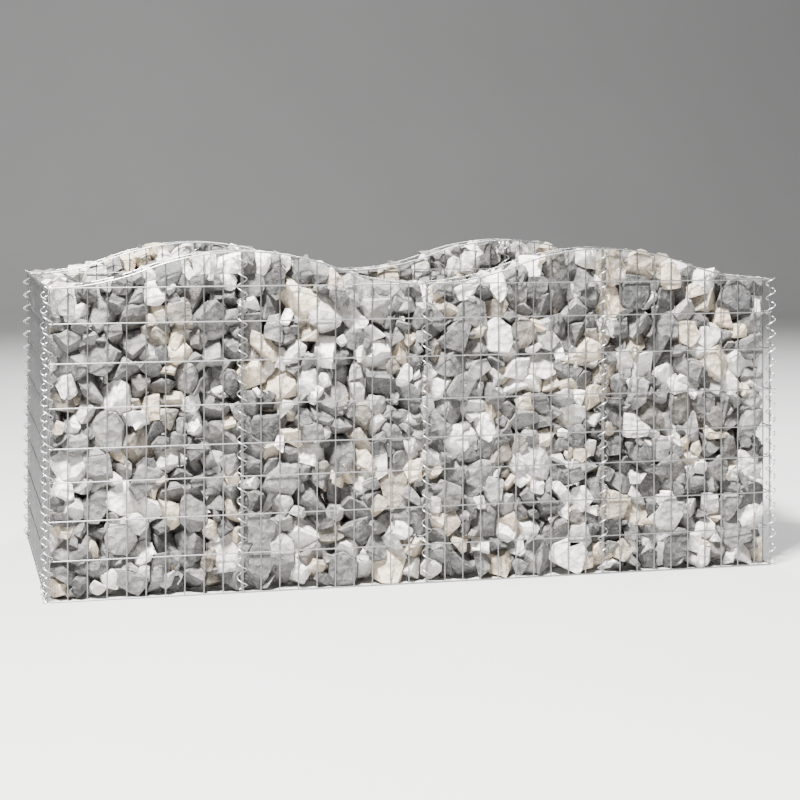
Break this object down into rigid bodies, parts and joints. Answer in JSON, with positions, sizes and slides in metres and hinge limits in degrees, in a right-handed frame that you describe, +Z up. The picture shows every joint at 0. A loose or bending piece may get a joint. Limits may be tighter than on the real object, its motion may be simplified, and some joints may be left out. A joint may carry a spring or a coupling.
{
  "type": "arched gabion raised bed",
  "caption": "Raised garden bed with walls of stone held in welded wire mesh, whose long sides rise and fall in arches, laced together by spiral binders.",
  "frame": {"origin": "middle of the bed's footprint, on the ground", "axes": "+X along the long sides, +Y from the front to the back, +Z up"},
  "size_m": [2.0294, 1.0294, 0.8937],
  "materials": {
    "mesh": "matt zinc coating",
    "inner_mesh": "matt zinc coating",
    "spiral": "matt zinc coating",
    "stone": "broken limestone"
  },
  "bodies": {
    "root": {"front_panel_1": "mesh", "front_panel_2": "mesh", "front_panel_3": "mesh", "front_panel_4": "mesh", "back_panel_1": "mesh", "back_panel_2": "mesh", "back_panel_3": "mesh", "back_panel_4": "mesh", "left_end_panel": "mesh", "right_end_panel": "mesh", "inner_front_panel_1": "inner_mesh", "inner_front_panel_2": "inner_mesh", "inner_front_panel_3": "inner_mesh", "inner_front_panel_4": "inner_mesh", "inner_back_panel_1": "inner_mesh", "inner_back_panel_2": "inner_mesh", "inner_back_panel_3": "inner_mesh", "inner_back_panel_4": "inner_mesh", "inner_left_panel": "inner_mesh", "inner_right_panel": "inner_mesh", "spiral_front_left": "spiral", "spiral_front_right": "spiral", "spiral_back_left": "spiral", "spiral_back_right": "spiral", "spiral_front_joint_1": "spiral", "spiral_front_joint_2": "spiral", "spiral_front_joint_3": "spiral", "spiral_back_joint_1": "spiral", "spiral_back_joint_2": "spiral", "spiral_back_joint_3": "spiral", "front_stone_1": "stone", "front_stone_2": "stone", "front_stone_3": "stone", "front_stone_4": "stone", "back_stone_1": "stone", "back_stone_2": "stone", "back_stone_3": "stone", "back_stone_4": "stone", "left_stone": "stone", "right_stone": "stone"}
  },
  "joints": []
}
